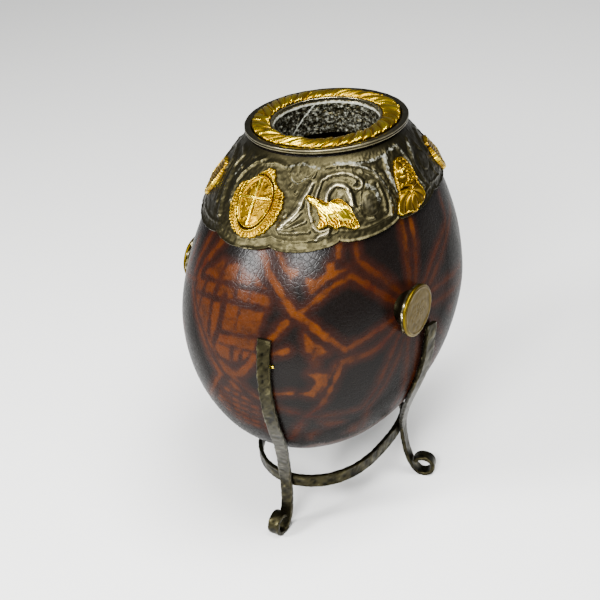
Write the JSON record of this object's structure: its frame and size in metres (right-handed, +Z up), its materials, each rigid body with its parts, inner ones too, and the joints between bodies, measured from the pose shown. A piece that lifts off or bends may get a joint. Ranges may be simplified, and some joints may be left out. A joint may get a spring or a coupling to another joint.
{
  "type": "mate gourd cup on stand",
  "caption": "Hollow gourd cup for mate with an embossed metal collar, gilt ornaments and a flat rim, resting in a hammered strip-metal stand with scroll feet.",
  "frame": {"origin": "on the surface it stands on, under the middle of the whole object's box", "axes": "+Z up, -Y towards the pictured front with the bird ornament, +X to its right"},
  "size_m": [0.0851, 0.0904, 0.1279],
  "materials": {
    "gourd_shell": "dried gourd, burnt and stained dark with orange-brown lines, satin lacquer",
    "tarnished_silver": "embossed nickel silver, tarnished olive grey with pale residue in the recesses",
    "gilding": "embossed leaf, bright worn gilding",
    "dull_brass": "dull scratched brass",
    "bronzed_strip": "hammered flat strip, dark olive bronze"
  },
  "bodies": {
    "root": {"gourd": "gourd_shell", "collar": "tarnished_silver", "lip": "tarnished_silver", "wreath": "gilding", "bird_1": "gilding", "mask_2": "gilding", "spray_3": "gilding", "shield_4": "gilding", "bird_5": "gilding", "mask_6": "gilding", "spray_7": "gilding", "shield_8": "gilding", "disc_right": "dull_brass", "disc_left": "dull_brass", "disc_cup_right": "tarnished_silver", "disc_cup_left": "tarnished_silver", "stand_hoop": "bronzed_strip", "leg_front": "bronzed_strip", "leg_right": "bronzed_strip", "leg_back": "bronzed_strip"}
  },
  "joints": []
}
